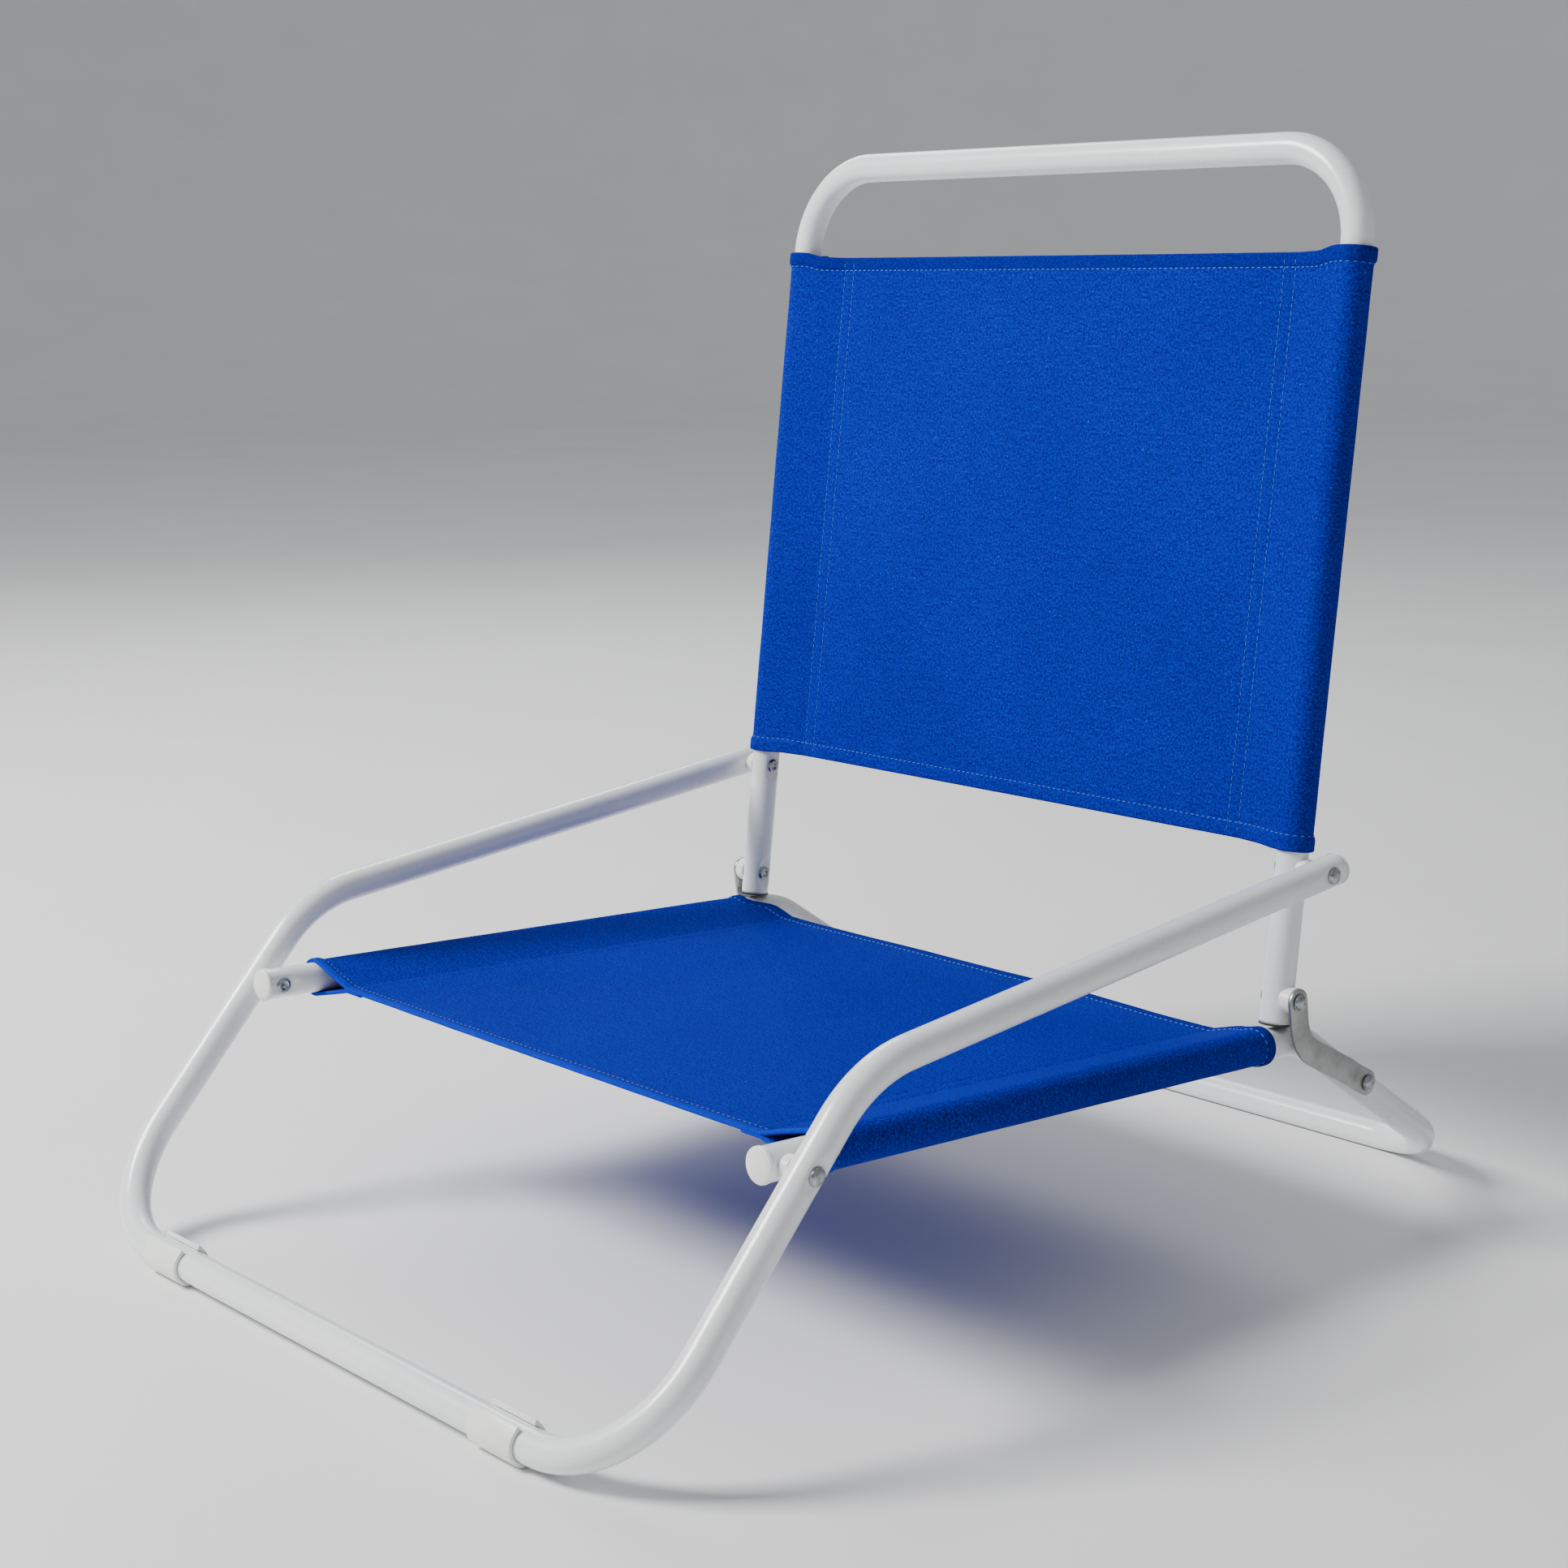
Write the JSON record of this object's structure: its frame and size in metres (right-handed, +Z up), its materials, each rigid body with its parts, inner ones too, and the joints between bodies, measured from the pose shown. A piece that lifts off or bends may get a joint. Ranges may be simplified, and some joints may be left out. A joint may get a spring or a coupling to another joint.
{
  "type": "folding low camp chair",
  "caption": "Low folding camp chair: bent white steel tubes, blue sling seat and back, armrests in one piece with the front leg, back that folds down over the seat.",
  "frame": {"origin": "on the floor, under the middle of the bounding box of the open chair", "axes": "+X across the chair towards the sitter's left side, +Y from the front of the seat towards the back, +Z up; the sitter faces -Y"},
  "size_m": [0.5702, 0.7609, 0.6893],
  "materials": {
    "white_powder_coat": "glossy white powder coat",
    "link_steel": "glossy white paint on flat steel",
    "zinc": "bright zinc plate",
    "white_plastic": "moulded, slightly glossy",
    "black_plastic": "moulded, satin",
    "blue_back_cloth": "woven polyester, royal blue",
    "blue_seat_cloth": "woven polyester, royal blue"
  },
  "bodies": {
    "seat": {"seat_leg_frame": "white_powder_coat", "seat_fabric": "blue_seat_cloth", "seat_front_cap_L": "white_plastic", "seat_front_cap_R": "white_plastic", "leg_link_rivet_L": "zinc", "leg_link_rivet_R": "zinc"},
    "links": {"back_link_L": "link_steel", "back_link_R": "link_steel"},
    "back": {"back_frame": "white_powder_coat", "back_fabric": "blue_back_cloth", "upright_foot_plug_L": "black_plastic", "upright_foot_plug_R": "black_plastic", "back_link_rivet_L": "zinc", "back_link_rivet_R": "zinc", "arm_back_rivet_tail_L": "zinc", "arm_back_rivet_tail_R": "zinc", "arm_back_spacer_L": "white_plastic", "arm_back_spacer_R": "white_plastic", "back_link_spacer_L": "white_plastic", "back_link_spacer_R": "white_plastic"},
    "arms": {"arm_leg_frame": "white_powder_coat", "armrest_end_cap_L": "white_plastic", "armrest_end_cap_R": "white_plastic", "foot_clip_L": "white_plastic", "foot_clip_R": "white_plastic", "arm_seat_rivet_L": "zinc", "arm_seat_rivet_R": "zinc", "arm_seat_spacer_L": "white_plastic", "arm_seat_spacer_R": "white_plastic", "arm_back_rivet_L": "zinc", "arm_back_rivet_R": "zinc"}
  },
  "joints": [
    {"name": "fold", "type": "hinge", "parent": "seat", "child": "links", "pos_m": [0, 0.2559, 0.0885], "axis": [-1, 0, 0], "range_deg": [0, 59.5]},
    {"name": "back_turn", "type": "hinge", "parent": "links", "child": "back", "pos_m": [0, 0.1767, 0.1584], "axis": [1, 0, 0], "range_deg": [0, 153.5]},
    {"name": "arms_turn", "type": "hinge", "parent": "seat", "child": "arms", "pos_m": [0, -0.2434, 0.1504], "axis": [-1, 0, 0], "range_deg": [0, 5.63]}
  ],
  "couplings": [
    {"joint": "back_turn", "follows": "fold", "ratio": 2.5798},
    {"joint": "arms_turn", "follows": "fold", "ratio": 0.0946}
  ]
}
